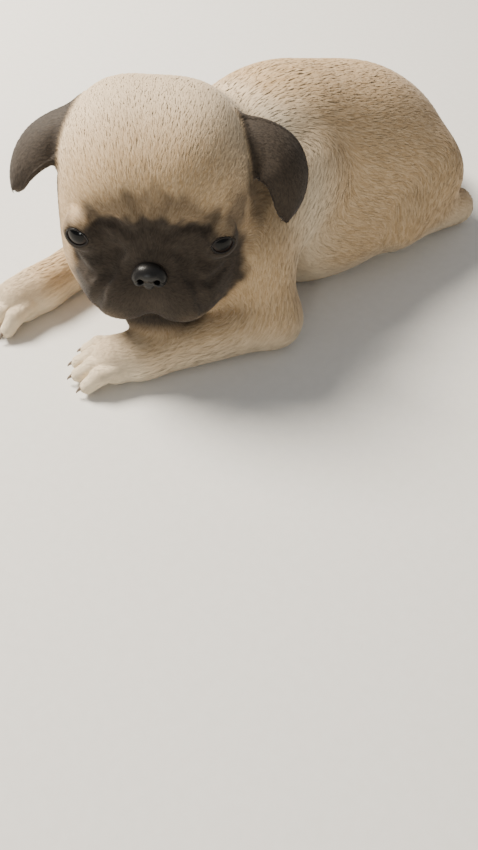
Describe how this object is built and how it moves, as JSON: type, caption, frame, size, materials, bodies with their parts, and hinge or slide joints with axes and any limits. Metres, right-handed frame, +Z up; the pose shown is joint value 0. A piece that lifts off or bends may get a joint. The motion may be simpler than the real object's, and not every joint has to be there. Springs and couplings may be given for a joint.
{
  "type": "pug puppy",
  "caption": "Life-size still model of a fawn pug puppy lying on its belly, its head turned to its left and low, its forelegs stretched out in front.",
  "frame": {"origin": "middle of the underside of the bounding box", "axes": "+Z up, +Y along the body from the head towards the tail, so the body faces -Y and its left side is +X"},
  "size_m": [0.122, 0.2776, 0.1062],
  "materials": {
    "coat": "short dense fawn fur, dull",
    "mask": "short black fur, dull",
    "ears": "fine black fur, velvety",
    "nose": "moist pebbled skin, half gloss",
    "eyes": "wet dark brown eye, glossy",
    "claws": "smooth dark horn"
  },
  "bodies": {
    "root": {"claw_fore_left_1": "claws", "claw_fore_left_2": "claws", "claw_fore_left_3": "claws", "claw_fore_left_4": "claws", "claw_fore_right_1": "claws", "claw_fore_right_2": "claws", "claw_fore_right_3": "claws", "claw_fore_right_4": "claws", "ear_left": "ears", "ear_right": "ears", "eye_left": "eyes", "eye_right": "eyes", "forearm_left": "coat", "forearm_right": "coat", "forepaw_left": "coat", "forepaw_right": "coat", "head": "coat", "hindfoot_left": "coat", "hindfoot_right": "coat", "lower_jaw": "mask", "neck": "coat", "nose": "nose", "tail": "coat", "thigh_left": "coat", "thigh_right": "coat", "torso": "coat", "upper_foreleg_left": "coat", "upper_foreleg_right": "coat"}
  },
  "joints": []
}
